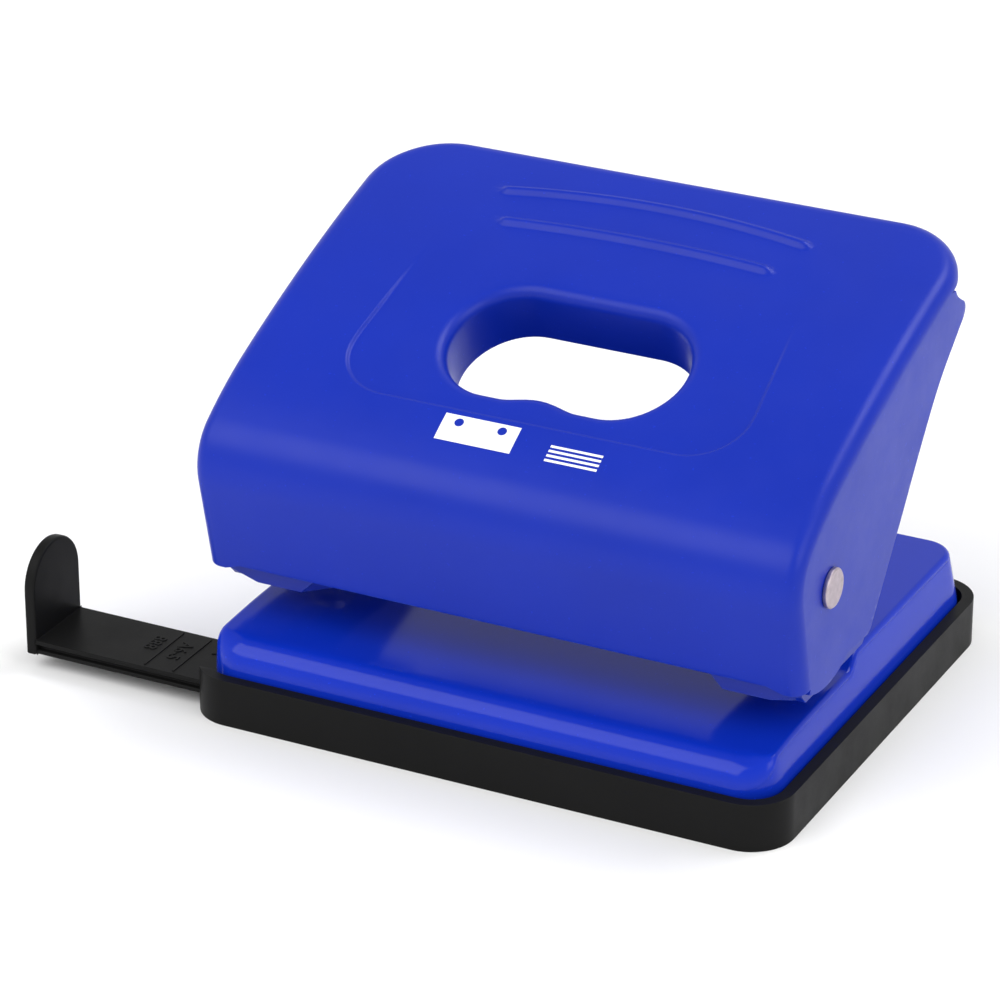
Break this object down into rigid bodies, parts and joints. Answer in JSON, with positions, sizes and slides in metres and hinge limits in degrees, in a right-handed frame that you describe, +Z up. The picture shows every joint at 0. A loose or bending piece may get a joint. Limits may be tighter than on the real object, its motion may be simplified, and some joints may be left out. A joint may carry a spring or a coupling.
{
  "type": "hole punch",
  "caption": "Desk hole punch for two holes: pressed steel handle with a finger opening, steel base, plastic chip tray and sliding paper guide.",
  "frame": {"origin": "centre of the chip tray's flat underside", "axes": "+Z up, +X to the right, paper goes in along +Y from the front"},
  "size_m": [0.1314, 0.084, 0.072],
  "materials": {
    "black_plastic": "moulded satin black",
    "base_enamel": "gloss blue enamel",
    "handle_enamel": "satin blue enamel",
    "tower_enamel": "satin blue enamel",
    "pin_steel": "turned steel",
    "hard_steel": "ground steel",
    "spring_steel": "drawn wire",
    "zinc_steel": "zinc plated",
    "bush_plastic": "natural nylon"
  },
  "bodies": {
    "tray": {"base_tray": "black_plastic"},
    "guide": {"paper_guide": "black_plastic"},
    "base": {"base_plate": "base_enamel", "tower_rivets": "zinc_steel", "left_tower": "tower_enamel", "left_die": "hard_steel", "left_guide_bush": "bush_plastic", "left_spring": "spring_steel", "left_pivot_pin": "pin_steel", "left_pivot_washer": "black_plastic", "left_pivot_clip": "spring_steel", "right_tower": "tower_enamel", "right_die": "hard_steel", "right_guide_bush": "bush_plastic", "right_spring": "spring_steel", "right_pivot_pin": "pin_steel", "right_pivot_washer": "black_plastic", "right_pivot_clip": "spring_steel"},
    "handle": {"handle": "handle_enamel", "press_bar": "zinc_steel"},
    "left_punch": {"left_punch_pin": "hard_steel", "left_spring_cap": "zinc_steel"},
    "right_punch": {"right_punch_pin": "hard_steel", "right_spring_cap": "zinc_steel"}
  },
  "joints": [
    {"name": "tray_unclip", "type": "slide", "parent": "tray", "child": "base", "axis": [0, 0, 1], "range_m": [0, 0.015]},
    {"name": "guide_slide", "type": "slide", "parent": "tray", "child": "guide", "axis": [-1, 0, 0], "range_m": [-0.026, 0.0266]},
    {"name": "handle_press", "type": "hinge", "parent": "base", "child": "handle", "pos_m": [0, -0.0246, 0.0369], "axis": [-1, 0, 0], "range_deg": [0, 28], "stiffness_Nm_per_rad": 0.6, "springref_deg": -8.59},
    {"name": "left_punch_slide", "type": "slide", "parent": "base", "child": "left_punch", "axis": [0, 0, -1], "range_m": [0, 0.0068], "deforming": ["left_spring"]},
    {"name": "right_punch_slide", "type": "slide", "parent": "base", "child": "right_punch", "axis": [0, 0, -1], "range_m": [0, 0.0068], "deforming": ["right_spring"]}
  ],
  "couplings": [
    {"joint": "left_punch_slide", "follows": "handle_press", "m_per_rad": 0.01365},
    {"joint": "right_punch_slide", "follows": "handle_press", "m_per_rad": 0.01365}
  ]
}
